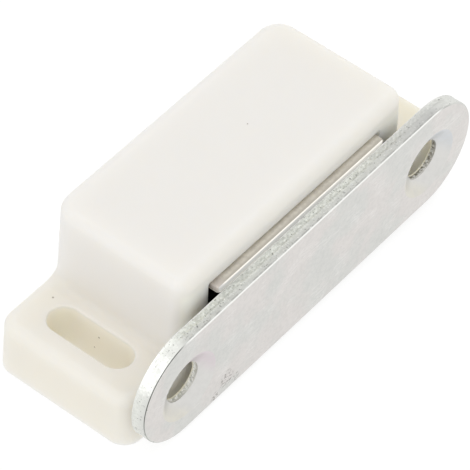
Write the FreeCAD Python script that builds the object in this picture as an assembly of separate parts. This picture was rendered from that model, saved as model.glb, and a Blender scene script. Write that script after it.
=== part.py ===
"""Magnetic cupboard catch: a moulded housing, a floating magnet pack and a screw-on strike plate.

Frame: X runs along the catch, -Y is the side that the strike comes to, and Z = 0 is the mounting face.
The origin is the middle of the mounting face. Sizes are in millimetres and angles in degrees.
"""
import FreeCAD, Part

import math
import os

V = FreeCAD.Vector
ORIGIN = V(0, 0, 0)
Y_AXIS = V(0, 1, 0)
Z_AXIS = V(0, 0, 1)

# Housing, outside
HOUSING_LENGTH = 46.0
HOUSING_DEPTH = 15.6
HOUSING_HEIGHT = 15.4
EAR_LENGTH = 7.0
EAR_THICKNESS = 6.0
MOULD_DRAFT = 1.5
FRONT_DRAFT = 0.2
BLOCK_REAR_CORNER_RADIUS = 2.3
BLOCK_FRONT_CORNER_RADIUS = 1.5
BLOCK_TOP_RADIUS = 1.0
BLOCK_TOP_FRONT_RADIUS = 1.3
BLOCK_FOOT_RADIUS = 1.0
EAR_CORNER_RADIUS = 1.9
EAR_EDGE_RADIUS = 1.1

# Screw slots, which run across the ears
SLOT_LENGTH = 9.3
SLOT_WIDTH = 3.2
SLOT_TO_EAR_END = 4.15
SLOT_RIM_RADIUS = 0.15

# Housing, inside
FRONT_WALL = 1.8
REAR_WALL = 1.8
END_WALL = 2.4
ROOF = 2.3
CAVITY_CORNER_RADIUS = 0.5
WINDOW_END_INSET = 3.85
WINDOW_CORNER_RADIUS = 0.2
WINDOW_RIM_RADIUS = 0.12

# Snap lugs on the end walls, which keep the magnet pack in
LUG_WIDTH = 2.6
LUG_HEIGHT = 0.85
LUG_LIP = 0.2
LUG_GRIP = 0.4
LUG_PITCH = 6.4
LUG_BASE_INSET = 0.1

# Magnet pack
PLATE_THICKNESS = 0.8
TIP_PROJECTION = 0.75
PLATE_CORNER_RADIUS = 0.35
PLATE_EDGE_CHAMFER = 0.1
MAGNET_SETBACK = 0.6
MAGNET_END_INSET = 1.2
MAGNET_REAR_INSET = 0.4
MAGNET_CORNER_RADIUS = 0.3

# Play of the magnet pack in the housing
END_PLAY = 0.4
SIDE_PLAY = 0.3
TOP_PLAY = 0.3
SEAT_PLAY = 0.1

# Strike plate
STRIKE_END_OVERHANG = 0.4
STRIKE_TOP_STEP = 3.4
STRIKE_THICKNESS = 1.45
STRIKE_FRONT_EDGE_RADIUS = 0.16
STRIKE_REAR_CHAMFER = 0.03
STRIKE_BASE_GAP = 0.02
STRIKE_TILT = 0.75
SCREW_PITCH = 34.5
SCREW_HOLE_DIAMETER = 4.2
SCREW_HOLE_LAND = 0.65
SCREW_HOLE_DROP = 0.45
SINK_DIAMETER = 7.0

# Faces and levels that follow from the sizes
DRAFT_SLOPE = math.tan(math.radians(MOULD_DRAFT))
FRONT_SLOPE = math.tan(math.radians(FRONT_DRAFT))
FRONT_Y = -HOUSING_DEPTH / 2
REAR_Y = HOUSING_DEPTH / 2
CAVITY_FRONT_Y = FRONT_Y + FRONT_WALL
CAVITY_REAR_Y = REAR_Y - REAR_WALL
BLOCK_LENGTH = HOUSING_LENGTH - 2 * EAR_LENGTH
CAVITY_LENGTH = BLOCK_LENGTH - 2 * END_WALL
WINDOW_LENGTH = BLOCK_LENGTH - 2 * WINDOW_END_INSET
CEILING_Z = HOUSING_HEIGHT - ROOF
SLOT_X = HOUSING_LENGTH / 2 - SLOT_TO_EAR_END
LUG_TOP_Z = LUG_BASE_INSET + LUG_HEIGHT
LOWER_PLATE_Z = LUG_TOP_Z + SEAT_PLAY
UPPER_PLATE_Z = CEILING_Z - TOP_PLAY - PLATE_THICKNESS
MAGNET_Z = LOWER_PLATE_Z + PLATE_THICKNESS
TIP_Y = FRONT_Y - TIP_PROJECTION
TIP_LENGTH = WINDOW_LENGTH - 2 * END_PLAY
SHOULDER_Y = CAVITY_FRONT_Y + SIDE_PLAY
SHOULDER_LENGTH = CAVITY_LENGTH - 2 * END_PLAY
PLATE_REAR_Y = CAVITY_REAR_Y - SIDE_PLAY
STRIKE_LENGTH = HOUSING_LENGTH + 2 * STRIKE_END_OVERHANG
STRIKE_HEIGHT = HOUSING_HEIGHT - STRIKE_TOP_STEP
STRIKE_RUN = STRIKE_LENGTH - STRIKE_HEIGHT
STRIKE_END_DROP = STRIKE_RUN / 2 * math.sin(math.radians(STRIKE_TILT))
STRIKE_Z = STRIKE_BASE_GAP + STRIKE_END_DROP + STRIKE_HEIGHT / 2

# Reach of a cutting tool past the surface that it opens, and the closeness that tells two edges apart
OVERCUT = 1.0
NEAR = 0.01


def polygon(points):
    """Flat face with straight sides."""
    return Part.Face(Part.makePolygon(points + points[:1]))


def block(length, y_low, y_high, z_low, z_high):
    """Square-edged block that is centred on X = 0."""
    half = length / 2
    base = [V(-half, y_low, z_low), V(half, y_low, z_low), V(half, y_high, z_low), V(-half, y_high, z_low)]
    return polygon(base).extrude(V(0, 0, z_high - z_low))


def edges_along(solid, axis):
    """Straight edges that run along an axis."""
    return [
        edge for edge in solid.Edges
        if edge.Curve.TypeId == "Part::GeomLine" and abs(edge.Curve.Direction.dot(axis)) > 1 - NEAR / 10
    ]


def stadium(length, width, thickness):
    """Plate with full round ends: long in X, wide in Y, and thick from Z = 0 upwards."""
    half_run, half = (length - width) / 2, width / 2
    corners = [V(-half_run, -half, 0), V(half_run, -half, 0), V(half_run, half, 0), V(-half_run, half, 0)]
    sides = [
        Part.LineSegment(corners[0], corners[1]),
        Part.Arc(corners[1], V(length / 2, 0, 0), corners[2]),
        Part.LineSegment(corners[2], corners[3]),
        Part.Arc(corners[3], V(-length / 2, 0, 0), corners[0]),
    ]
    outline = Part.Wire([side.toShape() for side in sides])
    return Part.Face(outline).extrude(V(0, 0, thickness))


def drafted_block(base_length, height):
    """Block as deep as the housing, whose walls lean in by the mould draft, the front wall the least."""
    rings = []
    for z in (0, height):
        half = base_length / 2 - z * DRAFT_SLOPE
        front, rear = FRONT_Y + z * FRONT_SLOPE, REAR_Y - z * DRAFT_SLOPE
        rings.append([V(-half, front, z), V(half, front, z), V(half, rear, z), V(-half, rear, z)])
    low, high = rings
    walls = [polygon([low[i - 1], low[i], high[i], high[i - 1]]) for i in range(4)]
    return Part.Solid(Part.Shell(walls + [polygon(low[::-1]), polygon(high)]))


def upright_edges(solid, beyond_x):
    """Drafted corner edges that stand further from the middle than a given X."""
    upright = math.cos(math.radians(2 * MOULD_DRAFT))
    return [
        edge for edge in solid.Edges
        if edge.Curve.TypeId == "Part::GeomLine"
        and abs(edge.Curve.Direction.z) > upright
        and abs(edge.CenterOfMass.x) > beyond_x
    ]


def corner_run_radius(edge):
    """Radius of an edge in the run down a block corner and round the top of an ear.

    The hollowed foot between the two gives none, so its radius passes smoothly from one to the other.
    """
    low, high = edge.BoundBox.ZMin, edge.BoundBox.ZMax
    if low > EAR_THICKNESS and high > HOUSING_HEIGHT - NEAR and high - low > BLOCK_TOP_RADIUS:
        return BLOCK_FRONT_CORNER_RADIUS if edge.CenterOfMass.y < 0 else BLOCK_REAR_CORNER_RADIUS
    is_level = abs(low - EAR_THICKNESS) < NEAR and high - low < NEAR
    if is_level and abs(edge.CenterOfMass.x) > BLOCK_LENGTH / 2 + BLOCK_FOOT_RADIUS:
        return EAR_EDGE_RADIUS
    return None


def rim_radius(edge):
    """Radius of a straight edge of the block's top, which is widest over the window.

    The corner arcs give none, so their radius passes smoothly from one straight edge to the next.
    """
    is_straight = edge.Curve.TypeId == "Part::GeomLine"
    if edge.BoundBox.ZMin < HOUSING_HEIGHT - NEAR or not is_straight:
        return None
    return BLOCK_TOP_FRONT_RADIUS if edge.CenterOfMass.y < FRONT_Y / 2 else BLOCK_TOP_RADIUS


def round_by_rule(solid, rule):
    """Solid with its edges rounded by the radius that a rule gives for each."""
    document = FreeCAD.newDocument()
    base = document.addObject("Part::Feature", "Base")
    base.Shape = solid
    radii = [(number, rule(edge)) for number, edge in enumerate(base.Shape.Edges, 1)]
    rounded = document.addObject("Part::Fillet", "Rounded")
    rounded.Base = base
    rounded.Edges = [(number, radius, radius) for number, radius in radii if radius]
    document.recompute()
    result = rounded.Shape.copy()
    FreeCAD.closeDocument(document.Name)
    return result


def housing_outside():
    """Block between two ears, with its foot hollowed and its outer edges rounded."""
    ears = drafted_block(HOUSING_LENGTH, EAR_THICKNESS)
    middle = drafted_block(BLOCK_LENGTH + 2 * EAR_THICKNESS * DRAFT_SLOPE, HOUSING_HEIGHT)
    form = ears.fuse(middle).removeSplitter()
    feet = [
        edge for edge in edges_along(form, Y_AXIS)
        if abs(edge.CenterOfMass.z - EAR_THICKNESS) < NEAR
        and abs(abs(edge.CenterOfMass.x) - BLOCK_LENGTH / 2) < NEAR
    ]
    form = form.makeFillet(BLOCK_FOOT_RADIUS, feet)
    form = form.makeFillet(EAR_CORNER_RADIUS, upright_edges(form, BLOCK_LENGTH / 2 + BLOCK_FOOT_RADIUS))
    form = round_by_rule(form, corner_run_radius)
    return round_by_rule(form, rim_radius)


def cavity_cut():
    """Room for the magnet pack, open at the mounting face."""
    room = block(CAVITY_LENGTH, CAVITY_FRONT_Y, CAVITY_REAR_Y, -OVERCUT, CEILING_Z)
    return room.makeFillet(CAVITY_CORNER_RADIUS, edges_along(room, Z_AXIS))


def window_cut():
    """Opening in the front wall for the pole tips, open at the mounting face as well."""
    opening = block(WINDOW_LENGTH, FRONT_Y - OVERCUT, CAVITY_FRONT_Y + OVERCUT, -OVERCUT, CEILING_Z)
    top_corners = [edge for edge in edges_along(opening, Y_AXIS) if edge.CenterOfMass.z > 0]
    return opening.makeFillet(WINDOW_CORNER_RADIUS, top_corners)


def slot_cut(side):
    """Screw slot across one ear; side is -1 or 1."""
    slot = stadium(SLOT_LENGTH, SLOT_WIDTH, EAR_THICKNESS + BLOCK_FOOT_RADIUS + 2 * OVERCUT)
    slot.rotate(ORIGIN, Z_AXIS, 90)
    slot.translate(V(side * SLOT_X, 0, -OVERCUT))
    return slot


def snap_lug(side, y):
    """Wedge on one end wall, with a flat top that the lower pole plate rests on."""
    wall_x = CAVITY_LENGTH / 2 + NEAR
    tip_x = SHOULDER_LENGTH / 2 - LUG_GRIP
    profile = [
        (wall_x, LUG_BASE_INSET),
        (tip_x, LUG_TOP_Z - LUG_LIP),
        (tip_x, LUG_TOP_Z),
        (wall_x, LUG_TOP_Z),
    ]
    lug = polygon([V(side * x, y - LUG_WIDTH / 2, z) for x, z in profile])
    return lug.extrude(V(0, LUG_WIDTH, 0))


def slot_rims(solid):
    """Edges round the upper ends of the screw slots."""
    return [
        edge for edge in solid.Edges
        if abs(edge.BoundBox.ZMin - EAR_THICKNESS) < NEAR
        and edge.BoundBox.ZLength < NEAR
        and abs(abs(edge.CenterOfMass.x) - SLOT_X) < SLOT_WIDTH / 2 + NEAR
        and edge.BoundBox.YMax < SLOT_LENGTH / 2 + NEAR
        and edge.BoundBox.YMin > -SLOT_LENGTH / 2 - NEAR
    ]


def window_rims(solid):
    """Edges round the window on the outside of the front wall."""
    return [
        edge for edge in solid.Edges
        if edge.BoundBox.YMax < FRONT_Y + HOUSING_HEIGHT * FRONT_SLOPE
        and abs(edge.CenterOfMass.x) < WINDOW_LENGTH / 2 + NEAR
        and edge.BoundBox.XMax < WINDOW_LENGTH / 2 + NEAR
        and edge.BoundBox.XMin > -WINDOW_LENGTH / 2 - NEAR
        and edge.BoundBox.ZMax < CEILING_Z + NEAR
    ]


def housing():
    """Moulded housing in one piece."""
    cuts = [cavity_cut(), window_cut(), slot_cut(-1), slot_cut(1)]
    shell = housing_outside().cut(cuts)
    shell = shell.makeFillet(SLOT_RIM_RADIUS, slot_rims(shell))
    shell = shell.makeFillet(WINDOW_RIM_RADIUS, window_rims(shell))
    lugs = [snap_lug(side, row * LUG_PITCH / 2) for side in (-1, 1) for row in (-1, 1)]
    return shell.fuse(lugs).removeSplitter()


def pole_plate(z):
    """Steel plate with a tongue that reaches out of the window and shoulders that stay behind the front wall."""
    tongue, shoulder = TIP_LENGTH / 2, SHOULDER_LENGTH / 2
    right_side = [(tongue, TIP_Y), (tongue, SHOULDER_Y), (shoulder, SHOULDER_Y), (shoulder, PLATE_REAR_Y)]
    left_side = [(-x, y) for x, y in reversed(right_side)]
    plate = polygon([V(x, y, z) for x, y in right_side + left_side]).extrude(V(0, 0, PLATE_THICKNESS))
    outer_corners = [
        edge for edge in edges_along(plate, Z_AXIS)
        if abs(edge.CenterOfMass.x) > tongue + NEAR or edge.CenterOfMass.y < TIP_Y + NEAR
    ]
    plate = plate.makeFillet(PLATE_CORNER_RADIUS, outer_corners)
    tip_edges = [
        edge for edge in plate.Edges
        if edge.BoundBox.ZLength < NEAR and edge.CenterOfMass.y < TIP_Y + PLATE_CORNER_RADIUS
    ]
    return plate.makeChamfer(PLATE_EDGE_CHAMFER, tip_edges)


def magnet():
    """Ferrite block between the pole plates, set back behind the window."""
    length = SHOULDER_LENGTH - 2 * MAGNET_END_INSET
    front, rear = SHOULDER_Y + MAGNET_SETBACK, PLATE_REAR_Y - MAGNET_REAR_INSET
    ferrite = block(length, front, rear, MAGNET_Z, UPPER_PLATE_Z)
    return ferrite.makeFillet(MAGNET_CORNER_RADIUS, edges_along(ferrite, Z_AXIS))


def screw_hole_cut(x):
    """Round hole with a wide sink at the front of the strike plate, whose rear face lies at Z = 0.

    The holes lie a little below the plate's middle line.
    """
    radius, sink_radius = SCREW_HOLE_DIAMETER / 2, SINK_DIAMETER / 2
    hole = Part.makeCylinder(radius, SCREW_HOLE_LAND + 2 * OVERCUT, V(x, -SCREW_HOLE_DROP, -OVERCUT), Z_AXIS)
    flare = (sink_radius - radius) / (STRIKE_THICKNESS - SCREW_HOLE_LAND)
    height = STRIKE_THICKNESS - SCREW_HOLE_LAND + OVERCUT
    sink = Part.makeCone(radius, radius + flare * height, height, V(x, -SCREW_HOLE_DROP, SCREW_HOLE_LAND), Z_AXIS)
    return hole.fuse(sink)


def strike_plate():
    """Plated steel strike, flat against the pole tips and a little askew on them."""
    plate = stadium(STRIKE_LENGTH, STRIKE_HEIGHT, STRIKE_THICKNESS)
    front = [edge for edge in plate.Edges if edge.BoundBox.ZMin > STRIKE_THICKNESS - NEAR]
    plate = plate.makeFillet(STRIKE_FRONT_EDGE_RADIUS, front)
    rear = [edge for edge in plate.Edges if edge.BoundBox.ZMax < NEAR]
    plate = plate.makeChamfer(STRIKE_REAR_CHAMFER, rear)
    plate = plate.cut([screw_hole_cut(-SCREW_PITCH / 2), screw_hole_cut(SCREW_PITCH / 2)])
    plate.rotate(ORIGIN, V(1, 0, 0), 90)
    plate.rotate(ORIGIN, Y_AXIS, -STRIKE_TILT)
    plate.translate(V(0, TIP_Y, STRIKE_Z))
    return plate


PIECES = {
    "housing": housing(),
    "upper_pole_plate": pole_plate(UPPER_PLATE_Z),
    "lower_pole_plate": pole_plate(LOWER_PLATE_Z),
    "magnet": magnet(),
    "strike_plate": strike_plate(),
}

os.makedirs("parts", exist_ok=True)
for name, piece in PIECES.items():
    piece.exportStep(f"parts/{name}.step")
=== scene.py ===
"""Looks of a magnetic cupboard catch: moulded housing, magnet pack and zinc-coated strike plate.

Every size is in metres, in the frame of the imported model: X runs along the catch, -Y is the side that the
strike comes to, and Z = 0 is the mounting face.
"""
import logging
import math
from dataclasses import dataclass, field
from enum import IntEnum
from functools import reduce
from typing import Any, Iterable

import bmesh
import bpy
import numpy as np
from mathutils import Matrix, Vector


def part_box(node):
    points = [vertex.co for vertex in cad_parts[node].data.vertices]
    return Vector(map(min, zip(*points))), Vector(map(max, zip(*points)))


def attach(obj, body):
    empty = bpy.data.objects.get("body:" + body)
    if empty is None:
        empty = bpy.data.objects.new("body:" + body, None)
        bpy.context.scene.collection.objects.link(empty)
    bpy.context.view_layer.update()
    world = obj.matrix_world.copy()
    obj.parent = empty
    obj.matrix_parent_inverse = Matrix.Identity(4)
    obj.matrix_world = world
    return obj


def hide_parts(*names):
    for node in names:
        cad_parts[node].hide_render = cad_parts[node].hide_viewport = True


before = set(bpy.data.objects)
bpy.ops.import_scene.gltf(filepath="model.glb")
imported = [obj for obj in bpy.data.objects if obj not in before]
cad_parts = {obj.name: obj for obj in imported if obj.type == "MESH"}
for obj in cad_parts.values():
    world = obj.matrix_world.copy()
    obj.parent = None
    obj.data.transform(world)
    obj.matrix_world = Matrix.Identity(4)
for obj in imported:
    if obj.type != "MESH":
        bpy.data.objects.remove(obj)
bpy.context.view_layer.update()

LOG = logging.getLogger("catch")
MM = 0.001

# Points of a mesh that are closer together than this are one point
SEAM = 1e-7

# Width of the picture that the camera was fitted to, and of the camera's sensor
PHOTO_PIXELS = 470
SENSOR_WIDTH_MM = 36.0

# Sockets of a Mix node for colours, by number, because their names repeat
MIX_SHARE, MIX_FIRST, MIX_SECOND, MIX_RESULT = 0, 6, 7, 2

# A colour, a place or a scale by axis, the start and end of a smooth step, and a wave as waves() takes it
Rgb = tuple[float, float, float]
Place = tuple[float, float, float]
Span = tuple[float, float]
Wave = tuple[float, float, float]


def linear(red: int, green: int, blue: int) -> Rgb:
    """Scene-linear colour of an 8-bit screen colour, by the standard screen curve.

    Args:
        red: Red, from 0 to 255.
        green: Green, from 0 to 255.
        blue: Blue, from 0 to 255.

    Returns:
        The three linear values.
    """
    screen = np.array([red, green, blue]) / 255.0
    values = np.where(screen <= 0.04045, screen / 12.92, ((screen + 0.055) / 1.055) ** 2.4)
    return tuple(float(v) for v in values)


# Shader graphs


class Term:
    """A shader value that takes part in Python expressions."""

    def __init__(self, graph: "Graph", socket: bpy.types.NodeSocket) -> None:
        """Wraps an output socket of a graph."""
        self.graph = graph
        self.socket = socket

    def _math(self, operation: str, first: Any, second: Any) -> "Term":
        """Adds a Math node and returns its value."""
        return self.graph.term("ShaderNodeMath", {"operation": operation}, {0: first, 1: second})

    def __add__(self, other: Any) -> "Term":
        """Sum."""
        return self._math("ADD", self, other)

    __radd__ = __add__

    def __mul__(self, other: Any) -> "Term":
        """Product."""
        return self._math("MULTIPLY", self, other)

    __rmul__ = __mul__

    def __sub__(self, other: Any) -> "Term":
        """Difference."""
        return self._math("SUBTRACT", self, other)

    def __rsub__(self, other: Any) -> "Term":
        """Difference from a number."""
        return self._math("SUBTRACT", other, self)

    def __truediv__(self, other: Any) -> "Term":
        """Quotient."""
        return self._math("DIVIDE", self, other)

    def __pow__(self, other: Any) -> "Term":
        """Power."""
        return self._math("POWER", self, other)

    def __abs__(self) -> "Term":
        """Absolute value."""
        return self._math("ABSOLUTE", self, 0.0)

    @staticmethod
    def total(terms: Iterable["Term"]) -> "Term":
        """Sum of several values."""
        return reduce(lambda first, second: first + second, terms)

    def swayed(self, reach: float) -> "Term":
        """A noise about zero: its difference from one half, times a reach."""
        return (self - 0.5) * reach

    def clipped(self) -> "Term":
        """The value held between 0 and 1."""
        return self.graph.term("ShaderNodeClamp", {}, {"Value": self})


@dataclass(frozen=True)
class Cloud:
    """Cloudy noise: the size of a cloud in metres, the number of finer layers, and the share of each."""

    size: float
    layers: float = 3.0
    share: float = 0.55


class Graph:
    """Node tree of one material or of the world, which starts empty but for its output."""

    def __init__(self, tree: bpy.types.NodeTree, output: str = "ShaderNodeOutputMaterial") -> None:
        """Empties the tree and adds its output node.

        Args:
            tree: Node tree of a material or of the world.
            output: Type of the output node.
        """
        self.tree = tree
        tree.nodes.clear()
        self.output = tree.nodes.new(output)

    def node(self, kind: str, settings: dict[str, Any], inputs: dict[str | int, Any]) -> bpy.types.Node:
        """Adds a node, with its settings first and its sockets after.

        Args:
            kind: Type of the node.
            settings: Attributes of the node.
            inputs: Numbers, colours or links by socket name or number.

        Returns:
            The new node.
        """
        made = self.tree.nodes.new(kind)
        for name, value in settings.items():
            setattr(made, name, value)
        for name, value in inputs.items():
            source = value.socket if isinstance(value, Term) else value
            if isinstance(source, bpy.types.NodeSocket):
                self.tree.links.new(source, made.inputs[name])
            elif isinstance(source, tuple) and made.inputs[name].type == "RGBA":
                made.inputs[name].default_value = (*source, 1.0)
            else:
                made.inputs[name].default_value = source
        return made

    def term(self, kind: str, settings: dict[str, Any], inputs: dict[str | int, Any],
             output: str | int = 0) -> Term:
        """Adds a node and returns one of its outputs as a term."""
        return Term(self, self.node(kind, settings, inputs).outputs[output])

    def place(self) -> Term:
        """Object coordinates, in metres."""
        return self.term("ShaderNodeTexCoord", {}, {}, "Object")

    def axis(self, name: str) -> Term:
        """One of the object coordinates, by the axis name."""
        return self.term("ShaderNodeSeparateXYZ", {}, {"Vector": self.place()}, name)

    def stretched(self, scale: Place) -> Term:
        """Object coordinates, scaled apart along each axis."""
        return self.term("ShaderNodeMapping", {}, {"Vector": self.place(), "Scale": scale})

    def distance(self, place: Place) -> Term:
        """Distance from a place, both in metres."""
        ends = {0: self.place(), 1: place}
        return self.term("ShaderNodeVectorMath", {"operation": "DISTANCE"}, ends, "Value")

    def noise(self, cloud: Cloud, at: Term | None = None) -> Term:
        """Cloudy noise between 0 and 1.

        Args:
            cloud: Size and layers of the noise.
            at: Coordinates; the object's own where none are given.

        Returns:
            The noise as a term.
        """
        inputs = {"Vector": at or self.place(), "Scale": 1.0 / cloud.size, "Detail": cloud.layers}
        return self.term("ShaderNodeTexNoise", {}, inputs | {"Roughness": cloud.share})

    def step(self, value: Any, low: float, high: float) -> Term:
        """Smooth step, from 0 at the low value to 1 at the high one."""
        inputs = {"Value": value, "From Min": low, "From Max": high}
        return self.term("ShaderNodeMapRange", {"interpolation_type": "SMOOTHSTEP"}, inputs)

    def fall(self, value: Any, low: float, high: float) -> Term:
        """Smooth step down, from 1 at the low value to 0 at the high one."""
        return 1 - self.step(value, low, high)

    def blend(self, share: Any, first: Any, second: Any) -> Term:
        """Colour between two colours, by the share of the second."""
        inputs = {MIX_SHARE: share, MIX_FIRST: first, MIX_SECOND: second}
        return self.term("ShaderNodeMix", {"data_type": "RGBA"}, inputs, MIX_RESULT)

    def layered(self, base: Any, *layers: tuple[Any, Any]) -> Term:
        """Colour with others laid over it in order, each given by its share and itself."""
        return reduce(lambda under, layer: self.blend(layer[0], under, layer[1]), layers, base)

    def bump(self, height: Term, strength: float, distance: float) -> Term:
        """Normal of a surface with a height on it, by the effect's share and the height of 1 in metres."""
        return self.term("ShaderNodeBump", {}, {"Height": height, "Strength": strength, "Distance": distance})

    def surface(self, inputs: dict[str | int, Any]) -> None:
        """Ends the graph in a Principled surface."""
        shader = self.node("ShaderNodeBsdfPrincipled", {}, inputs)
        self.tree.links.new(shader.outputs[0], self.output.inputs["Surface"])


def new_material(name: str) -> tuple[bpy.types.Material, Graph]:
    """Makes an empty material.

    Args:
        name: Name of the material.

    Returns:
        The material and its graph.
    """
    material = bpy.data.materials.new(name)
    material.use_nodes = True
    return material, Graph(material.node_tree)


# Finishes


@dataclass(frozen=True)
class MouldedPlastic:
    """Off-white moulded plastic, translucent, with a satin skin and a few dark specks.

    Painted light, for light that the plastic lets through in shade, gives it a warmer tone in the ears,
    towards the right end, on the front wall and most on the far ear, and makes it paler in the slots and low
    on that wall, from which depths are taken. A speck is its middle's place and its radius, in millimetres.
    """

    name: str = "moulded_plastic"
    colour: Rgb = linear(243, 240, 235)
    # Painted shade tone: warmer, for light let through the plastic where it lies low, to the right and in
    # front
    painted_warm_shade: Rgb = linear(242, 238, 228)
    # Painted light: a paler colour low on the front wall, just above the window, against the shade there
    painted_lip_light: Rgb = linear(255, 249, 236)
    dirt: Rgb = linear(120, 100, 78)
    # Painted light on the far ear: a yellower tone, for light let through the plastic
    far_ear_painted_light: Rgb = linear(243, 238, 223)
    # Painted light in the slots: a paler, yellower colour for their walls, against their shade
    slot: Rgb = linear(254, 245, 232)
    plain_height: Span = (4.0 * MM, 9.5 * MM)
    height_sway: float = 4.0 * MM
    right_run: Span = (9.0 * MM, 20.0 * MM)
    right_warmth: float = 0.7
    front_y: float = -7.7 * MM
    front_depth: Span = (0.0, 1.2 * MM)
    front_warmth: float = 0.65
    far_ear_run: Span = (14.5 * MM, 17.5 * MM)
    lip_height: Span = (13.2 * MM, 14.2 * MM)
    lip_depth: Span = (0.1 * MM, 0.7 * MM)
    lip_run: Span = (19.5 * MM, 20.7 * MM)
    slot_x: float = 18.85 * MM
    slot_half_width: float = 1.6 * MM
    slot_half_length: float = 4.65 * MM
    slot_blend: Span = (0.1 * MM, 0.3 * MM)
    slot_height: Span = (5.5 * MM, 5.9 * MM)
    dirt_share: float = 0.6
    clouds: Cloud = Cloud(9.0 * MM, 2.0, 0.5)
    grain: Cloud = Cloud(0.16 * MM, 2.0, 0.5)
    grain_height: float = 0.003 * MM
    grain_strength: float = 0.6
    roughness: float = 0.40
    roughness_sway: float = 0.06
    gloss: float = 0.4
    scatter_share: float = 1.0
    scatter_depth: float = 1.8 * MM
    scatter_tint: Rgb = (1.0, 0.97, 0.9)
    speck_core: float = 0.5
    specks: tuple[tuple[float, float, float, float], ...] = (
        (-17.59, 5.49, 6.0, 0.13),
        (-16.19, 0.99, 6.1, 0.16),
        (-17.25, 0.37, 4.13, 0.13),
        (-17.25, 0.88, 2.43, 0.10),
        (-19.9, 4.6, 5.9, 0.10),
        (3.15, 0.5, 15.4, 0.09),
    )

    def speck(self, graph: Graph, x: float, y: float, z: float, radius: float) -> Term:
        """1 inside one speck, from its place and radius in millimetres, and 0 outside."""
        reach = radius * MM
        return graph.fall(graph.distance((x * MM, y * MM, z * MM)), reach * self.speck_core, reach)

    def slots(self, graph: Graph) -> Term:
        """Mask of the two slots: the product of smooth steps across a slot, along it and up to its rim.

        Args:
            graph: Graph of the material.

        Returns:
            1 in the slots, and 0 away from them.
        """
        across = abs(abs(graph.axis("X")) - self.slot_x) - self.slot_half_width
        along = abs(graph.axis("Y")) - self.slot_half_length
        inside = graph.fall(across, *self.slot_blend) * graph.fall(along, *self.slot_blend)
        return inside * graph.fall(graph.axis("Z"), *self.slot_height)

    def plain(self, graph: Graph, clouds: Term, depth: Term) -> Term:
        """Share of the plain colour, which grows with a swaying height and shrinks to the right and in front.

        Args:
            graph: Graph of the material.
            clouds: Noise that the height sways with.
            depth: Depth behind the front wall.

        Returns:
            The share.
        """
        # The rest of the share shows the painted shade tone
        share = graph.step(graph.axis("Z") + clouds.swayed(self.height_sway), *self.plain_height)
        share = share * (1 - graph.step(graph.axis("X"), *self.right_run) * self.right_warmth)
        return share * (1 - graph.fall(depth, *self.front_depth) * self.front_warmth)

    def material(self) -> bpy.types.Material:
        """Builds the material.

        Returns:
            The material.
        """
        material, graph = new_material(self.name)
        clouds = graph.noise(self.clouds)
        depth = graph.axis("Y") - self.front_y
        # Mask of the painted light low on the front wall, just above the window
        low = graph.fall(graph.axis("Z"), *self.lip_height) * graph.fall(depth, *self.lip_depth)
        specks = Term.total(self.speck(graph, *values) for values in self.specks)
        graph.surface({
            "Base Color": graph.layered(
                # Painted shade tone under all, with the plain colour laid over it higher up
                self.painted_warm_shade,
                (self.plain(graph, clouds, depth), self.colour),
                # Painted light on the far ear
                (graph.step(graph.axis("X"), *self.far_ear_run), self.far_ear_painted_light),
                # Painted light low on the front wall, fading towards its ends
                (low * graph.fall(abs(graph.axis("X")), *self.lip_run), self.painted_lip_light),
                # Painted light in the slots
                (self.slots(graph), self.slot),
                (specks.clipped() * self.dirt_share, self.dirt),
            ),
            "Roughness": self.roughness + clouds * self.roughness_sway,
            "Specular IOR Level": self.gloss,
            "Subsurface Weight": self.scatter_share,
            "Subsurface Radius": self.scatter_tint,
            "Subsurface Scale": self.scatter_depth,
            "Normal": graph.bump(graph.noise(self.grain), self.grain_strength, self.grain_height),
        })
        return material


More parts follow.
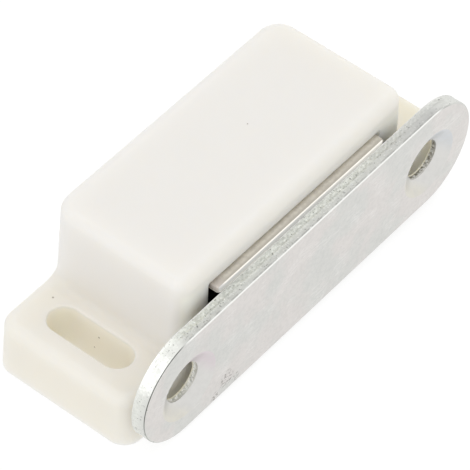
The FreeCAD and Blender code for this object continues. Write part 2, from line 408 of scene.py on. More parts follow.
@dataclass(frozen=True)
class ZincFace:
    """Bright zinc on rolled sheet, with clouds of faint tint, fine mottling, thin scratches and rub marks.

    A rub mark is the place of its middle and its reach. Scales of drawn noise are in clouds per metre.
    """

    name: str = "zinc_face"
    colour: Rgb = linear(219, 217, 213)
    dull: Rgb = linear(203, 202, 198)
    tint_warm: Rgb = linear(218, 210, 209)
    tint_cool: Rgb = linear(207, 211, 209)
    scratch: Rgb = linear(240, 239, 237)
    rub: Rgb = linear(104, 102, 94)
    clouds: Cloud = Cloud(4.5 * MM)
    cloud_span: Span = (0.36, 0.66)
    cloud_share: float = 0.35
    mottle: Cloud = Cloud(0.35 * MM, 3.0, 0.65)
    mottle_span: Span = (0.35, 0.7)
    mottle_share: float = 0.65
    tint: Cloud = Cloud(4.4 * MM, 2.0, 0.5)
    tint_span: Span = (0.42, 0.6)
    tint_share: float = 0.28
    scratch_angles_deg: tuple[float, ...] = (18.0, -48.0, 66.0, 104.0, 140.0)
    scratch_shift: Place = (3.0 * MM, 2.0 * MM, 1.0 * MM)
    scratch_scale: Place = (260.0, 400.0, 3000.0)
    scratch_noise: Cloud = Cloud(1.0, 1.0, 0.5)
    scratch_width: Span = (0.002, 0.012)
    scratch_share: float = 0.35
    scratch_height: float = 0.5
    patches: Cloud = Cloud(2.6 * MM, 2.0, 0.5)
    patch_span: Span = (0.48, 0.66)
    dash_scale: Place = (2600.0, 1000.0, 5200.0)
    dash_noise: Cloud = Cloud(1.0, 2.0, 0.6)
    dash_span: Span = (0.52, 0.60)
    rub_core: float = 0.6
    rub_share: float = 0.9
    rubs: tuple[tuple[Place, float], ...] = (
        ((-11.9 * MM, -10.0 * MM, 1.8 * MM), 1.25 * MM),
        ((-13.5 * MM, -10.0 * MM, 0.7 * MM), 0.7 * MM),
        ((-10.6 * MM, -10.0 * MM, 0.9 * MM), 0.6 * MM),
    )
    roughness: float = 0.34
    roughness_clouds: Cloud = Cloud(1.3 * MM, 3.0, 0.6)
    roughness_sway: float = 0.16
    fine_relief: Cloud = Cloud(0.14 * MM, 3.0, 0.6)
    wide_relief: Cloud = Cloud(0.5 * MM, 2.0, 0.5)
    relief_strength: float = 0.5
    relief_height: float = 0.0022 * MM

    def scratches(self, graph: Graph) -> Term:
        """Thin level lines of noise that is drawn out along a few directions, kept in scattered patches.

        Args:
            graph: Graph of the material.

        Returns:
            1 on a scratch and 0 beside it.
        """
        lines = []
        for number, angle in enumerate(self.scratch_angles_deg):
            drawn = graph.term("ShaderNodeMapping", {}, {
                "Vector": graph.place(),
                "Rotation": (0.0, math.radians(angle), 0.0),
                "Location": tuple(shift * number for shift in self.scratch_shift),
                "Scale": self.scratch_scale,
            })
            level = abs(graph.noise(self.scratch_noise, drawn) - 0.5)
            lines.append(graph.fall(level, *self.scratch_width))
        patches = graph.step(graph.noise(self.patches), *self.patch_span)
        return (Term.total(lines) * patches).clipped()

    def rub_mark(self, graph: Graph, place: Place, reach: float) -> Term:
        """1 inside the core of one rub mark, and 0 beyond its reach."""
        return graph.fall(graph.distance(place), reach * self.rub_core, reach)

    def rub_and_highlight(self, graph: Graph) -> Term:
        """Short dashes of drawn noise, kept inside the rub marks."""
        dashes = graph.step(graph.noise(self.dash_noise, graph.stretched(self.dash_scale)), *self.dash_span)
        return (dashes * Term.total(self.rub_mark(graph, *mark) for mark in self.rubs)).clipped()

    def material(self) -> bpy.types.Material:
        """Builds the material.

        Returns:
            The material.
        """
        material, graph = new_material(self.name)
        scratches = self.scratches(graph)
        clouds = graph.step(graph.noise(self.clouds), *self.cloud_span) * self.cloud_share
        mottle = graph.step(graph.noise(self.mottle), *self.mottle_span) * self.mottle_share
        cool = graph.step(graph.noise(self.tint), *self.tint_span)
        relief = graph.noise(self.fine_relief) + graph.noise(self.wide_relief)
        relief = relief - scratches * self.scratch_height
        graph.surface({
            "Base Color": graph.layered(
                self.colour,
                (clouds + mottle, self.dull),
                (self.rub_and_highlight(graph) * self.rub_share, self.rub),
                (self.tint_share, graph.blend(cool, self.tint_warm, self.tint_cool)),
                (scratches * self.scratch_share, self.scratch),
            ),
            "Metallic": 1.0,
            "Roughness": self.roughness + graph.noise(self.roughness_clouds).swayed(self.roughness_sway),
            "Normal": graph.bump(relief, self.relief_strength, self.relief_height),
        })
        return material


@dataclass(frozen=True)
class ShearedEdge:
    """Sheared edge of zinc-coated sheet steel, with painted glints on its grains and a painted highlight by
    the outer face.

    Painted shade darkens it towards the right, by the outer face and more on the right side; painted dark
    reflections run behind the highlight; painted sheen and glare brighten the round ends, and the rear line
    is a painted highlight too. Depths are taken from the outer face, and the rear line's from the rear face.
    Fades and ends are taken from the ends of the straight run, and parts are shares of the thickness.
    """

    outer_y: float
    thickness: float
    run: float
    name: str = "sheared_edge"
    bright: Rgb = linear(215, 217, 211)
    dark: Rgb = linear(192, 194, 188)
    # Painted shade: darker towards the right and by the outer face
    low: Rgb = linear(182, 182, 179)
    # Painted shade on the right side of the edge
    painted_lee_shade: Rgb = linear(168, 168, 166)
    glint: Rgb = linear(250, 251, 247)
    pit: Rgb = linear(105, 107, 102)
    # Painted dark reflection: a broken dark line just behind the highlight line, along the straight run
    painted_dark_line: Rgb = linear(150, 150, 146)
    # Painted sheen: a bright tone on the round ends, for a lamp's reflection
    painted_end_sheen: Rgb = linear(240, 241, 236)
    # Painted dark reflection: a thin dark line by the outer face on the left round end
    painted_dark_reflection: Rgb = linear(92, 92, 90)
    # Painted highlight on the burnished roll-over and along the rear face
    rub_and_highlight: Rgb = linear(246, 246, 243)
    left_fade: Span = (-1.5 * MM, 0.3 * MM)
    right_fade: Span = (0.45 * MM, 1.8 * MM)
    line_depth: Span = (0.0525 * MM, 0.0975 * MM)
    rear_depth: Span = (-0.075 * MM, -0.045 * MM)
    rear_ragged: Cloud = Cloud(0.5 * MM, 3.0, 0.6)
    rear_sway: float = 0.12 * MM
    rear_share: float = 0.7
    rear_dulling: float = 0.8
    dark_reflection_depth: Span = (0.0075 * MM, 0.02625 * MM)
    dark_reflection_height: Span = (2.0 * MM, 8.0 * MM)
    dark_reflection_least: float = 0.25
    dark_line_depth: Span = (0.165 * MM, 0.255 * MM)
    dark_line_breaks: Cloud = Cloud(0.9 * MM, 3.0, 0.6)
    dark_line_span: Span = (0.42, 0.56)
    dark_line_share: float = 0.7
    grains: Cloud = Cloud(0.17 * MM, 3.0, 0.65)
    grain_stretch: Place = (1.0, 0.45, 1.0)
    grain_height: float = 0.022 * MM
    grain_strength: float = 0.6
    blotches: Cloud = Cloud(0.374 * MM, 3.0, 0.7)
    blotch_stretch: Place = (0.4, 1.0, 1.0)
    bright_span: Span = (0.82, 1.16)
    pits: Cloud = Cloud(0.238 * MM, 2.0, 0.6)
    pit_span: Span = (0.64, 0.70)
    pit_share: float = 0.8
    glints: Cloud = Cloud(0.204 * MM, 2.0, 0.6)
    glint_span: Span = (0.66, 0.72)
    glint_share: float = 0.7
    painted_shade_run: Span = (4.0 * MM, 15.0 * MM)
    painted_shade_part: Span = (0.25, 0.6)
    painted_shade_share: float = 0.7
    lee_run: Span = (8.0 * MM, 18.0 * MM)
    lee_part: Span = (0.35, 0.6)
    lee_lightening: float = 0.7
    lee_end: Span = (0.0, 2.1 * MM)
    lee_depth: float = 0.8
    end_sheen_left: float = 0.5
    end_sheen_right: float = 0.4
    end_sheen_right_run: Span = (1.5 * MM, 3.0 * MM)
    glare_at: Place = (-21.2 * MM, -9.3 * MM, 10.3 * MM)
    glare_reach: Span = (1.32 * MM, 2.2 * MM)
    glare_sway: float = 3.0 * MM
    glare_least: float = 0.3
    glare_gain: float = 0.6
    glare_span: Span = (0.42, 0.58)
    roughness: float = 0.34
    roughness_sway: float = 0.18

    def through(self, graph: Graph, depth: Term, part: Span) -> Term:
        """Smooth step through the thickness, by two shares of it."""
        return graph.step(depth, self.thickness * part[0], self.thickness * part[1])

    def dark_reflection_share(self, graph: Graph, depth: Term) -> Term:
        """Share of the painted dark reflection by the outer face, which is fainter low down."""
        rise = graph.step(graph.axis("Z"), *self.dark_reflection_height)
        return graph.step(depth, *self.dark_reflection_depth) * (self.dark_reflection_least + (1 - self.dark_reflection_least) * rise)

    def lee_share(self, graph: Graph, along: Term, depth: Term) -> Term:
        """Share of the shade on the right side, weaker towards the rear, which ends on the round end."""
        deep = 1 - self.through(graph, depth, self.lee_part) * self.lee_lightening
        return graph.step(along, *self.lee_run) * deep * graph.fall(along - self.run, *self.lee_end)

    def glare_share(self, graph: Graph, reach: Term, blotches: Term) -> Term:
        """Share of the glare in a round patch on the left end, stronger on the blotches."""
        level = self.glare_least + self.glare_gain * graph.step(blotches, *self.glare_span)
        return graph.fall(reach, *self.glare_reach) * level

    def material(self) -> bpy.types.Material:
        """Builds the material: each mask is a smooth step of a place or of noise, and lays one colour on.

        Returns:
            The material.
        """
        material, graph = new_material(self.name)
        depth = graph.axis("Y") - self.outer_y
        along = graph.axis("X")
        left_end = graph.fall(along + self.run, *self.left_fade)
        straight = (1 - left_end) * graph.fall(along - self.run, *self.right_fade)
        line = graph.fall(depth, *self.line_depth)
        # Mask of the painted highlight line by the outer face, along the straight run
        rub_and_highlight = line * straight
        ragged = graph.noise(self.rear_ragged).swayed(self.rear_sway)
        rear = graph.step(depth + ragged - self.thickness, *self.rear_depth)
        grains = graph.noise(self.grains, graph.stretched(self.grain_stretch))
        blotches = graph.noise(self.blotches, graph.stretched(self.blotch_stretch))
        pits = graph.step(graph.noise(self.pits), *self.pit_span)
        # Mask of the painted shade, towards the right and by the outer face
        low = graph.step(along, *self.painted_shade_run) + (1 - self.through(graph, depth, self.painted_shade_part))
        glints = graph.step(graph.noise(self.glints), *self.glint_span)
        reach = graph.distance(self.glare_at) + grains.swayed(self.glare_sway)
        # Mask of the painted dark reflection line, broken by noise
        painted_dark_line = graph.fall(depth, *self.dark_line_depth)
        painted_dark_line = painted_dark_line * graph.step(graph.noise(self.dark_line_breaks), *self.dark_line_span)
        # Mask of the painted sheen on the left round end and past the right end of the straight run
        painted_end_sheen = left_end * self.end_sheen_left
        painted_end_sheen = painted_end_sheen + graph.step(along - self.run, *self.end_sheen_right_run) * self.end_sheen_right
        graph.surface({
            "Base Color": graph.layered(
                self.dark,
                (graph.step(grains + blotches, *self.bright_span), self.bright),
                # Painted shade
                (low.clipped() * self.painted_shade_share, self.low),
                # Painted shade on the right side
                (self.lee_share(graph, along, depth) * self.lee_depth, self.painted_lee_shade),
                (glints * self.glint_share, self.glint),
                (pits * self.pit_share, self.pit),
                # Painted dark reflection line along the straight run
                (painted_dark_line * straight * self.dark_line_share, self.painted_dark_line),
                # Painted sheen on the round ends, broken by the pits
                (painted_end_sheen * (1 - pits), self.painted_end_sheen),
                (self.glare_share(graph, reach, blotches) * (1 - pits), self.glint),
                # Painted dark reflection on the left round end
                (line * left_end * self.dark_reflection_share(graph, depth), self.painted_dark_reflection),
                # Painted highlight lines by the outer face and by the rear face
                ((rub_and_highlight + rear * self.rear_share).clipped(), self.rub_and_highlight),
            ),
            "Metallic": 1 - rear * self.rear_dulling,
            "Roughness": self.roughness + grains * self.roughness_sway,
            "Normal": graph.bump(grains * (1 - rub_and_highlight), self.grain_strength, self.grain_height),
        })
        return material


@dataclass(frozen=True)
class TurnedSink:
    """Zinc on the turned cone of a screw hole, with fine rings round the hole's axis and a rough bore.

    Heights are taken from the rear face outwards. The bore's wall is pitted, tarnished in the far hole, and
    worn at the rear face. The upper and the lower side of a cone each have a tint of their own, a painted
    reflection, and the upper side of the far hole's cone has another.
    """

    hole_x: float
    centre_z: float
    slope: float
    bore_radius: float
    rear_y: float
    bore_land: float
    name: str = "turned_sink"
    zinc: Rgb = linear(216, 215, 212)
    # Painted reflections: a tint for each side of a cone, and another for the far hole's upper side
    lower_painted_reflection: Rgb = linear(217, 214, 204)
    upper_painted_reflection: Rgb = linear(214, 204, 208)
    far_painted_reflection: Rgb = linear(206, 209, 212)
    dull: Rgb = linear(206, 205, 202)
    bore: Rgb = linear(254, 254, 251)
    pitted: Rgb = linear(150, 154, 138)
    tarnish: Rgb = linear(104, 100, 84)
    worn: Rgb = linear(232, 228, 208)
    tint_reach: float = 3.6 * MM
    high_span: Span = (0.4, 1.2)
    low_span: Span = (-1.2, -0.7)
    uneven: Cloud = Cloud(0.7 * MM, 3.0, 0.6)
    dull_span: Span = (0.38, 0.64)
    dull_share: float = 0.35
    grains: Cloud = Cloud(0.30 * MM, 3.0, 0.65)
    pitted_span: Span = (0.44, 0.56)
    pitted_share: float = 0.7
    tarnish_span: Span = (0.30, 0.56)
    worn_height: Span = (0.12 * MM, 0.22 * MM)
    bore_blend: float = 0.05 * MM
    mouth_part: Span = (0.5, 0.9)
    mouth_plating: float = 0.8
    bore_dulling: float = 0.9
    ring_pitch: float = 0.16 * MM
    ring_height: float = 0.004 * MM
    ring_strength: float = 0.5
    bore_relief: float = 6.0
    roughness: float = 0.30
    roughness_sway: float = 0.08
    bore_roughness: float = 0.2

    def wall(self, graph: Graph, far: Term, height: Term) -> Term:
        """Colour of the bore's wall, by a mask of the far hole and the height over the rear face."""
        grains = graph.noise(self.grains)
        return graph.layered(
            self.bore,
            (graph.step(grains, *self.pitted_span) * self.pitted_share, self.pitted),
            (far * graph.step(grains, *self.tarnish_span), self.tarnish),
            (graph.fall(height, *self.worn_height), self.worn),
        )

    def material(self) -> bpy.types.Material:
        """Builds the material: the distance from the nearer hole's axis places the rings.

        Returns:
            The material.
        """
        material, graph = new_material(self.name)
        x = graph.axis("X")
        across = graph.axis("Z") - self.centre_z - x * self.slope
        along = abs(x) - self.hole_x
        distance = (across * across + along * along) ** 0.5
        phase = distance * (math.tau / self.ring_pitch)
        rings = graph.term("ShaderNodeMath", {"operation": "SINE"}, {0: phase})
        side = across + along * graph.term("ShaderNodeMath", {"operation": "SIGN"}, {0: x})
        side = side / self.tint_reach
        far = graph.step(x, -self.hole_x, self.hole_x)
        height = self.rear_y - graph.axis("Y")
        bore = graph.fall(distance, self.bore_radius, self.bore_radius + self.bore_blend)
        mouth = graph.step(height, *(self.bore_land * part for part in self.mouth_part))
        uneven = graph.noise(self.uneven)
        relief = rings * uneven * (1 - bore) + graph.noise(self.grains) * bore * self.bore_relief
        graph.surface({
            "Base Color": graph.layered(
                self.zinc,
                # Painted reflections on the upper and the lower side of the cone
                (graph.step(side, *self.high_span), graph.blend(far, self.upper_painted_reflection, self.far_painted_reflection)),
                (graph.fall(side, *self.low_span), self.lower_painted_reflection),
                (graph.step(uneven, *self.dull_span) * self.dull_share, self.dull),
                (bore * (1 - mouth * self.mouth_plating), self.wall(graph, far, height)),
            ),
            "Metallic": 1 - bore * (1 - mouth) * self.bore_dulling,
            "Roughness": self.roughness + uneven * self.roughness_sway + bore * self.bore_roughness,
            "Normal": graph.bump(relief, self.ring_strength, self.ring_height),
        })
        return material


@dataclass(frozen=True)
class PoleSteel:
    """Plated sheet steel of a pole plate, dull on its faces, with painted highlights on the burnished edges
    of its tip.

    Depths are taken from the tip, runs from its left side, and heights from the lower or the upper face.
    """

    name: str
    tip_y: float
    low_z: float
    top_z: float
    tongue_half: float = 11.75 * MM
    bright: Rgb = linear(228, 223, 213)
    dark: Rgb = linear(210, 205, 195)
    worn: Rgb = linear(184, 179, 169)
    corner: Rgb = linear(206, 199, 192)
    tip: Rgb = linear(227, 226, 223)
    # Painted highlight on the burnished edges of the tip
    rub_and_highlight: Rgb = linear(255, 252, 244)
    clouds: Cloud = Cloud(0.8 * MM, 4.0, 0.6)
    cloud_span: Span = (0.35, 0.65)
    worn_depth: Span = (0.11 * MM, 0.55 * MM)
    tip_depth: Span = (0.096 * MM, 0.132 * MM)
    side_run: Span = (0.06 * MM, 0.09 * MM)
    corner_run: Span = (0.5 * MM, 1.5 * MM)
    line_run: Span = (0.5 * MM, 1.0 * MM)
    top_height: Span = (0.06 * MM, 0.09 * MM)
    base_height: Span = (0.18 * MM, 0.24 * MM)
    metallic: float = 0.65
    edge_dulling: float = 0.55
    roughness: float = 0.36
    roughness_sway: float = 0.15
    grain: Cloud = Cloud(0.15 * MM)
    grain_strength: float = 0.4
    grain_height: float = 0.004 * MM

    def material(self) -> bpy.types.Material:
        """Builds the material.

        Returns:
            The material.
        """
        material, graph = new_material(self.name)
        clouds = graph.noise(self.clouds)
        depth = graph.axis("Y") - self.tip_y
        along = graph.axis("X") + self.tongue_half
        near_tip = graph.fall(depth, *self.tip_depth)
        near_side = graph.fall(along, *self.side_run)
        near_top = graph.fall(self.top_z - graph.axis("Z"), *self.top_height)
        near_base = graph.fall(graph.axis("Z") - self.low_z, *self.base_height)
        # Mask of the painted highlight along the tip's upper edge, and along the lower edges of the tip and
        # the left side
        edge = near_tip * near_top * graph.step(along, *self.line_run)
        edge = edge + (near_tip + near_side).clipped() * near_base
        plain_edge = (near_tip + near_side - edge * 2).clipped()
        # The tip face blends into the highlight colour towards the right
        tip = graph.blend(graph.step(graph.axis("X"), 0.0, self.tongue_half), self.tip, self.rub_and_highlight)
        graph.surface({
            "Base Color": graph.layered(
                self.bright,
                (graph.step(clouds, *self.cloud_span), self.dark),
                (graph.fall(depth, *self.worn_depth), self.worn),
                (graph.fall(along, *self.corner_run), self.corner),
                (near_tip, tip),
                # Painted highlight on the tip's edges
                (edge.clipped(), self.rub_and_highlight),
            ),
            "Metallic": self.metallic - plain_edge * self.edge_dulling,
            "Roughness": self.roughness + clouds * self.roughness_sway,
            "Normal": graph.bump(graph.noise(self.grain), self.grain_strength, self.grain_height),
        })
        return material


@dataclass(frozen=True)
class Ferrite:
    """Ground grey-black ferrite."""

    name: str = "ferrite"
    colour: Rgb = linear(62, 60, 60)
    dust: Rgb = linear(88, 84, 80)
    grain: Cloud = Cloud(0.2 * MM, 4.0, 0.7)
    dust_span: Span = (0.45, 0.7)
    roughness: float = 0.72
    roughness_sway: float = 0.15
    grain_strength: float = 0.7
    grain_height: float = 0.02 * MM

    def material(self) -> bpy.types.Material:
        """Builds the material.

        Returns:
            The material.
        """
        material, graph = new_material(self.name)
        grain = graph.noise(self.grain)
        graph.surface({
            "Base Color": graph.blend(graph.step(grain, *self.dust_span), self.colour, self.dust),
            "Roughness": self.roughness + grain * self.roughness_sway,
            "Normal": graph.bump(grain, self.grain_strength, self.grain_height),
        })
        return material


# Surfaces


class Finish(IntEnum):
    """Material slots of the strike plate."""

    FACE = 0
    EDGE = 1
    SINK = 2


@dataclass
class Patch:
    """Points of a surface on a grid of two parameters, closed along its rows, with the slot of its finish."""

    points: np.ndarray
    finish: Finish

    def quads(self) -> np.ndarray:
        """Corners of the faces between neighbouring rows and columns, the last column beside the first.

        Returns:
            Four point numbers for each face.
        """
        rows, columns = self.points.shape[:2]
        number = np.arange(rows * columns).reshape(rows, columns)
        number = np.concatenate([number, number[:, :1]], axis=1)
        low, high = number[:-1], number[1:]
        return np.stack([low[:, :-1], low[:, 1:], high[:, 1:], high[:, :-1]], axis=-1).reshape(-1, 4)


def waves(angle: np.ndarray, height: np.ndarray, kinds: tuple[Wave, ...]) -> np.ndarray:
    """Mean of sine waves that run round a wall and up it.

    Args:
        angle: Angles round the wall.
        height: Heights on the wall, in metres.
        kinds: Each wave's number round the wall, its radians for a millimetre of height, and its start.

    Returns:
        The mean at each angle and height, between -1 and 1.
    """
    rows = [np.sin(number * angle + rise * height / MM + start) for number, rise, start in kinds]
    return sum(rows) / len(rows)


def joined(name: str, patches: list[Patch], materials: list[bpy.types.Material],
           crease_deg: float) -> bpy.types.Object:
    """Makes one closed object of patches that share their outer rows.

    Args:
        name: Name of the object.
        patches: The patches.
        materials: Materials in the order of the slots.
        crease_deg: Angle between two faces from which their edge is sharp.

    Returns:
        The object, linked to the scene.
    """
    counts = [patch.points.shape[0] * patch.points.shape[1] for patch in patches]
    starts = np.cumsum([0] + counts[:-1])
    quads = [patch.quads() + start for patch, start in zip(patches, starts)]
    slots = np.concatenate([np.full(len(q), int(patch.finish)) for q, patch in zip(quads, patches)])
    corners = np.concatenate(quads)
    mesh = bpy.data.meshes.new(name)
    mesh.vertices.add(sum(counts))
    mesh.vertices.foreach_set("co", np.concatenate([p.points.reshape(-1, 3) for p in patches]).ravel())
    mesh.loops.add(corners.size)
    mesh.loops.foreach_set("vertex_index", corners.ravel())
    mesh.polygons.add(len(corners))
    mesh.polygons.foreach_set("loop_start", np.arange(len(corners)) * corners.shape[1])
    mesh.polygons.foreach_set("material_index", slots)
    mesh.polygons.foreach_set("use_smooth", np.ones(len(corners), dtype=bool))
    mesh.update(calc_edges=True)
    form = bmesh.new()
    form.from_mesh(mesh)
    bmesh.ops.remove_doubles(form, verts=form.verts, dist=SEAM)
    bmesh.ops.recalc_face_normals(form, faces=form.faces)
    form.to_mesh(mesh)
    open_edges = sum(1 for edge in form.edges if not edge.is_manifold)
    form.free()
    mesh.set_sharp_from_angle(angle=math.radians(crease_deg))
    for material in materials:
        mesh.materials.append(material)
    made = bpy.data.objects.new(name, mesh)
    bpy.context.scene.collection.objects.link(made)
    LOG.info("%s: %d faces, %d open edges", name, len(mesh.polygons), open_edges)
    return made


def dress(node: str, material: bpy.types.Material) -> None:
    """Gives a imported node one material.

    Args:
        node: Name of the node.
        material: The material.
    """
    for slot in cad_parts[node].material_slots:
        slot.material = material
    LOG.info("%s: %s", node, material.name)


# Sub-assemblies


@dataclass
class Housing:
    """One moulding of a block between two ears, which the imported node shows."""

    node: str = "housing"

    def build(self) -> None:
        """Dresses the moulding."""
        dress(self.node, MouldedPlastic().material())


@dataclass
class MagnetPack:
    """Ferrite block between two pole plates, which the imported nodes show."""

    magnet: str = "magnet"
    poles: tuple[str, ...] = ("upper_pole_plate", "lower_pole_plate")

    def build(self) -> None:
        """Dresses the pole plates and the magnet."""
        for node in self.poles:
            low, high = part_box(node)
            dress(node, PoleSteel(f"{node}_steel", low[1], low[2], high[2]).material())
        dress(self.magnet, Ferrite().material())


@dataclass
class StrikePlate:
    """Strike plate with a rolled, burnished front edge under a painted highlight, a rough sheared edge, and
    two turned sinks.

    It is worked out in its own plane: u runs along the plate, w across it, and h from the rear face outwards.
    The rear face keeps a hair's gap from the pole tips. The shapes' waves are in the form that waves() takes.
    """

    tilt_deg: float = 0.75
    seat_gap: float = 0.004 * MM
    hole_run: float = 17.25 * MM
    hole_radius: float = 2.1 * MM
    hole_land: float = 0.65 * MM
    hole_drop: float = 0.45 * MM
    sink_radius: float = 3.5 * MM
    rim_round: float = 0.12 * MM
    rim_share: float = 0.5
    burr_round: float = 0.05 * MM
    roll_over: float = 0.16 * MM
    rear_chamfer: float = 0.03 * MM
    tear_depth: float = 0.05 * MM
    tear_share: float = 0.55
    tear_fade: float = 0.12
    tear_start: float = 0.08
    flute_fade: float = 0.1
    flute_depth: float = 0.2
    bore_depth: float = 0.6
    bore_waves: tuple[Wave, ...] = ((23, 6, 0.0), (41, -9, 1.0), (67, 0, 2.0))
    tear_waves: tuple[Wave, ...] = ((97, 9, 0.0), (171, -14, 1.3), (263, 21, 0.4), (419, -5, 2.2))
    flute_waves: tuple[Wave, ...] = ((311, 0, 0.0), (457, 0, 1.0))
    crease_deg: float = 38.0
    side_step: float = 0.12 * MM
    face_rows: int = 7
    land_rows: int = 8
    cone_rows: int = 7
    roll_rows: int = 6
    tear_rows: int = 16
    burr_rows: int = 4
    rim_rows: int = 5
    thickness: float = field(init=False)
    run: float = field(init=False)
    half_width: float = field(init=False)
    centre_z: float = field(init=False)
    rear_y: float = field(init=False)

    def __post_init__(self) -> None:
        """Takes the plate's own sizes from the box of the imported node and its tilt."""
        low, high = (np.array(corner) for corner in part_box("strike_plate"))
        tilt = math.radians(self.tilt_deg)
        half_x, half_z = (high[0] - low[0]) / 2, (high[2] - low[2]) / 2
        self.thickness = high[1] - low[1] - self.seat_gap
        self.run = (half_x - half_z) / (math.cos(tilt) - math.sin(tilt))
        self.half_width = half_z - self.run * math.sin(tilt)
        self.centre_z = (low[2] + high[2]) / 2
        self.rear_y = high[1] - self.seat_gap

    def placed(self, plane: np.ndarray, height: np.ndarray) -> np.ndarray:
        """Points in the model's frame: the plate's plane turned by the tilt, and heights taken towards -Y.

        Args:
            plane: Places u and w in the plane.
            height: Heights h, or one for all.

        Returns:
            Places x, y and z.
        """
        tilt = math.radians(self.tilt_deg)
        u, w = plane[..., 0], plane[..., 1]
        x = u * math.cos(tilt) - w * math.sin(tilt)
        z = self.centre_z + u * math.sin(tilt) + w * math.cos(tilt)
        return np.stack([x, self.rear_y - np.broadcast_to(height, u.shape), z], axis=-1)

    def half_outline(self, inset: float) -> np.ndarray:
        """Right half of the outline: along the lower side, round the end by an arc, and back along the upper.

        Args:
            inset: Distance that the outline is set in.

        Returns:
            Places u and w.
        """
        radius = self.half_width - inset
        side = np.linspace(0.0, self.run, round(self.run / self.side_step))
        steps = round(math.pi * self.half_width / self.side_step)
        turn = np.linspace(-math.pi / 2, math.pi / 2, steps)[1:-1]
        arc = np.stack([self.run + radius * np.cos(turn), radius * np.sin(turn)], axis=-1)
        lower = np.stack([side, np.full_like(side, -radius)], axis=-1)
        return np.concatenate([lower, arc, lower[::-1] * (1, -1)])

    def loop(self, inset: float) -> np.ndarray:
        """Closed outline of the right half, which comes back down the plate's middle line.

        Args:
            inset: Distance that the outline is set in.

        Returns:
            Places u and w.
        """
        half = self.half_outline(inset)
        top = half[-1, 1]
        middle = np.linspace(top, -top, round(2 * self.half_width / self.side_step))[1:-1]
        return np.concatenate([half, np.stack([np.zeros_like(middle), middle], axis=-1)])

    def centre(self) -> np.ndarray:
        """Centre of the right hole, in the plate's plane."""
        return np.array([self.hole_run, -self.hole_drop])

    def spokes(self) -> np.ndarray:
        """Directions from the hole's centre to the points of the closed outline."""
        reach = self.loop(0.0) - self.centre()
        return reach / np.linalg.norm(reach, axis=-1, keepdims=True)

    def both(self, plane: np.ndarray, height: np.ndarray, finish: Finish) -> list[Patch]:
        """The same patch for both halves, which mirror each other across the plate's middle."""
        return [Patch(self.placed(plane * (side, 1), height), finish) for side in (1, -1)]

    def face(self, height: float, inner: float, inset: float) -> list[Patch]:
        """Flat face from a circle round each hole out to the outline, by shares of the way between the two.

        Args:
            height: Height of the face.
            inner: Radius of the circle.
            inset: Distance that the outline is set in.

        Returns:
            A patch for each half.
        """
        start = self.spokes() * inner + self.centre()
        share = np.linspace(0.0, 1.0, self.face_rows)[:, None, None]
        return self.both(start * (1 - share) + self.loop(inset) * share, np.array(height), Finish.FACE)

    def hole_profile(self) -> tuple[np.ndarray, np.ndarray]:
        """Profile of a hole, from the rear face to the front one.

        It is a quarter circle at the rear, the straight bore, the cone, and a quarter wave round the rim.

        Returns:
            Radius and height of each point.
        """
        burr = np.linspace(0.0, math.pi / 2, self.burr_rows)
        land = np.linspace(self.burr_round, self.hole_land, self.land_rows)[1:]
        share = np.linspace(0.0, 1.0, self.cone_rows)[1:]
        wave = np.linspace(0.0, math.pi / 2, self.rim_rows)[1:]
        rim_height = self.thickness - self.rim_round * self.rim_share
        cone_radius = self.sink_radius - self.rim_round
        radius = np.concatenate([
            self.hole_radius + self.burr_round * (1 - np.sin(burr)),
            np.full_like(land, self.hole_radius),
            self.hole_radius + share * (cone_radius - self.hole_radius),
            self.sink_radius + self.rim_round * (wave / (math.pi / 4) - 1),
        ])
        height = np.concatenate([
            self.burr_round * (1 - np.cos(burr)),
            land,
            self.hole_land + share * (rim_height - self.hole_land),
            rim_height + (self.thickness - rim_height) * np.sin(wave),
        ])
        return radius, height

    def hole(self) -> list[Patch]:
        """Bore and sink as a surface of revolution of their profile.

        The straight bore's radius swells and shrinks by waves in the angle and the height.

        Returns:
            A patch for each half.
        """
        radius, height = self.hole_profile()
        spokes = self.spokes()
        angle = np.arctan2(spokes[:, 1], spokes[:, 0])[None]
        inside = (height > self.burr_round) & (height < self.hole_land)
        swell = self.tear_depth * self.bore_depth * waves(angle, height[:, None], self.bore_waves)
        plane = spokes[None] * (radius[:, None] + inside[:, None] * swell)[..., None] + self.centre()
        return self.both(plane, height[:, None], Finish.SINK)

    def edge(self) -> Patch:
        """Sheared edge: the outline swept through the thickness, each row set in by its own amount.

        The rows climb a chamfer, a torn band whose depth is a mean of waves along the outline and up the
        edge, a burnished band that is fluted across, and a quarter circle that rolls over to the front face.

        Returns:
            One patch for the whole outline.
        """
        right = self.half_outline(0.0)
        outline = np.concatenate([right[:-1], (right * (-1, 1))[:0:-1]])
        ends = np.clip(outline[:, :1], -self.run, self.run) * (1, 0)
        outward = (outline - ends) / np.linalg.norm(outline - ends, axis=-1, keepdims=True)
        length = np.linalg.norm(np.diff(outline, axis=0, append=outline[:1]), axis=-1)
        along = ((np.cumsum(length) - length) / length.sum() * math.tau)[None]
        torn = np.linspace(self.rear_chamfer, self.thickness - self.roll_over, self.tear_rows)
        turn = np.linspace(0.0, math.pi / 2, self.roll_rows)[1:]
        rise, set_in = self.roll_over * np.sin(turn), self.roll_over * (1 - np.cos(turn))
        height = np.concatenate([[0.0], torn, torn[-1] + rise])[:, None]
        inset = np.concatenate([[self.rear_chamfer], np.zeros_like(torn), set_in])
        share = (height - torn[0]) / (torn[-1] - torn[0])
        tear = np.clip((self.tear_share - share) / self.tear_fade, 0, 1)
        tear = tear * np.clip(share / self.tear_start, 0, 1)
        flute = np.clip((share - self.tear_share) / self.flute_fade, 0, 1)
        flute = flute * np.clip((1 - share) / self.flute_fade, 0, 1) * self.flute_depth
        rough = (waves(along, height, self.tear_waves) + 1) / 2
        fluted = (waves(along, height, self.flute_waves) + 1) / 2
        cut = self.tear_depth * (tear * rough + flute * fluted)
        plane = outline[None] - outward[None] * (inset[:, None] + cut)[..., None]
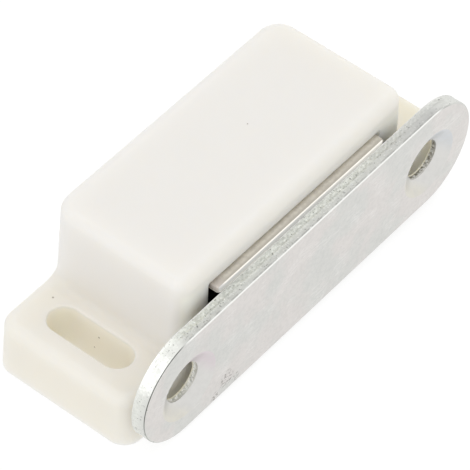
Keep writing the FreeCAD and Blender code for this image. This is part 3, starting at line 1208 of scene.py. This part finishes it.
        return Patch(self.placed(plane, height), Finish.EDGE)

    def build(self) -> bpy.types.Object:
        """Builds the plate in place of its plain node.

        Returns:
            The plate.
        """
        place = (self.hole_run, self.centre_z - self.hole_drop, math.tan(math.radians(self.tilt_deg)))
        sink = TurnedSink(*place, self.hole_radius, self.rear_y, self.hole_land)
        finishes = [ZincFace(), ShearedEdge(self.rear_y - self.thickness, self.thickness, self.run), sink]
        front = self.face(self.thickness, self.sink_radius + self.rim_round, self.roll_over)
        rear = self.face(0.0, self.hole_radius + self.burr_round, self.rear_chamfer)
        patches = front + rear + self.hole() + [self.edge()]
        plate = joined("strike_sheet", patches, [finish.material() for finish in finishes], self.crease_deg)
        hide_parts("strike_plate")
        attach(plate, "strike")
        return plate


# Studio


@dataclass
class Studio:
    """Pale floor, soft light and the camera. A lamp is its name, its place and its power in watts."""

    yaw_deg: float = -52.971
    pitch_deg: float = 48.565
    roll_deg: float = 2.996
    distance: float = 359.842 * MM
    focal_pixels: float = 3927.6
    aim: Place = (1.364 * MM, -0.1 * MM, 2.334 * MM)
    clip: Span = (0.01, 20.0)
    white: Rgb = (1.0, 1.0, 1.0)
    sky_level: float = 0.68
    floor_size: float = 6.0
    floor_gap: float = 0.3 * MM
    floor_colour: Rgb = (0.24, 0.24, 0.238)
    glow_level: float = 0.66
    veil_level: float = 0.82
    lamp_size: float = 0.30
    lamps: tuple[tuple[str, Place, float], ...] = (
        ("key", (-0.30, -0.10, 0.42), 0.45),
        ("top", (0.05, 0.10, 0.50), 0.15),
        ("left", (-0.45, 0.20, 0.18), 0.14),
        ("right", (0.40, 0.05, 0.30), 0.33),
        ("front", (0.30, -0.30, 0.30), 0.09),
    )

    def camera(self) -> None:
        """Adds the camera: it looks along a direction that is turned by the yaw and dips by the pitch."""
        yaw, pitch, roll = (math.radians(a) for a in (self.yaw_deg, self.pitch_deg, self.roll_deg))
        ahead = Vector((-math.sin(yaw) * math.cos(pitch), math.cos(yaw) * math.cos(pitch), -math.sin(pitch)))
        level = Vector((math.cos(yaw), math.sin(yaw), 0.0))
        upward = level.cross(ahead)
        right = math.cos(roll) * level + math.sin(roll) * upward
        up = math.cos(roll) * upward - math.sin(roll) * level
        lens = bpy.data.cameras.new("camera")
        lens.sensor_width = SENSOR_WIDTH_MM
        lens.lens = self.focal_pixels * SENSOR_WIDTH_MM / PHOTO_PIXELS
        lens.clip_start, lens.clip_end = self.clip
        camera = bpy.data.objects.new("camera", lens)
        turn = Matrix((right, up, -ahead)).transposed().to_4x4()
        camera.matrix_world = Matrix.Translation(Vector(self.aim) - self.distance * ahead) @ turn
        bpy.context.scene.collection.objects.link(camera)
        bpy.context.scene.camera = camera

    def lamp(self, name: str, place: Place, power: float) -> None:
        """Adds a square lamp that faces the origin.

        Args:
            name: Name of the lamp.
            place: Its centre, in metres.
            power: Its power, in watts.
        """
        light = bpy.data.lights.new(name, "AREA")
        light.shape, light.size, light.energy = "SQUARE", self.lamp_size, power
        lamp = bpy.data.objects.new(name, light)
        lamp.location = place
        lamp.rotation_mode = "QUATERNION"
        lamp.rotation_quaternion = (-Vector(place)).to_track_quat("-Z", "Y")
        bpy.context.scene.collection.objects.link(lamp)

    @staticmethod
    def seen(graph: Graph) -> Term:
        """Mask of the rays that show a surface to the camera or in gloss or glass.

        Args:
            graph: Graph of the material or of the world.

        Returns:
            1 for those rays and 0 for soft light.
        """
        path = graph.node("ShaderNodeLightPath", {}, {})
        rays = ("Is Camera Ray", "Is Glossy Ray", "Is Transmission Ray")
        return Term.total(Term(graph, path.outputs[ray]) for ray in rays).clipped()

    def world(self) -> None:
        """White surroundings that light the object at a plain level."""
        world = bpy.data.worlds.new("studio")
        world.use_nodes = True
        bpy.context.scene.world = world
        graph = Graph(world.node_tree, "ShaderNodeOutputWorld")
        strength = self.seen(graph) * (1.0 - self.sky_level) + self.sky_level
        back = graph.node("ShaderNodeBackground", {}, {"Color": self.white, "Strength": strength})
        graph.tree.links.new(back.outputs[0], graph.output.inputs["Surface"])

    def floor(self) -> None:
        """Plain floor: a white table lit from below, with a brighter veil where it is seen."""
        half = self.floor_size / 2
        corners = [(-half, -half, 0), (half, -half, 0), (half, half, 0), (-half, half, 0)]
        mesh = bpy.data.meshes.new("floor")
        mesh.from_pydata(corners, [], [range(len(corners))])
        floor = bpy.data.objects.new("floor", mesh)
        floor.location.z = -self.floor_gap
        bpy.context.scene.collection.objects.link(floor)
        material, graph = new_material("floor")
        matt = graph.node("ShaderNodeBsdfDiffuse", {}, {"Color": self.floor_colour})
        glow = self.seen(graph) * (self.veil_level - self.glow_level) + self.glow_level
        veil = graph.node("ShaderNodeEmission", {}, {"Color": self.white, "Strength": glow})
        both = graph.node("ShaderNodeAddShader", {}, {0: matt.outputs[0], 1: veil.outputs[0]})
        graph.tree.links.new(both.outputs[0], graph.output.inputs["Surface"])
        mesh.materials.append(material)

    def build(self) -> None:
        """Builds the floor, the lights and the camera."""
        self.floor()
        self.world()
        for lamp in self.lamps:
            self.lamp(*lamp)
        self.camera()
        bpy.context.scene.view_settings.view_transform = "Standard"


def main() -> None:
    """Dresses the housing and the pack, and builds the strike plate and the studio."""
    logging.basicConfig(level=logging.INFO, format="%(name)s: %(message)s")
    Housing().build()
    MagnetPack().build()
    StrikePlate().build()
    Studio().build()


if __name__ == "__main__":
    main()
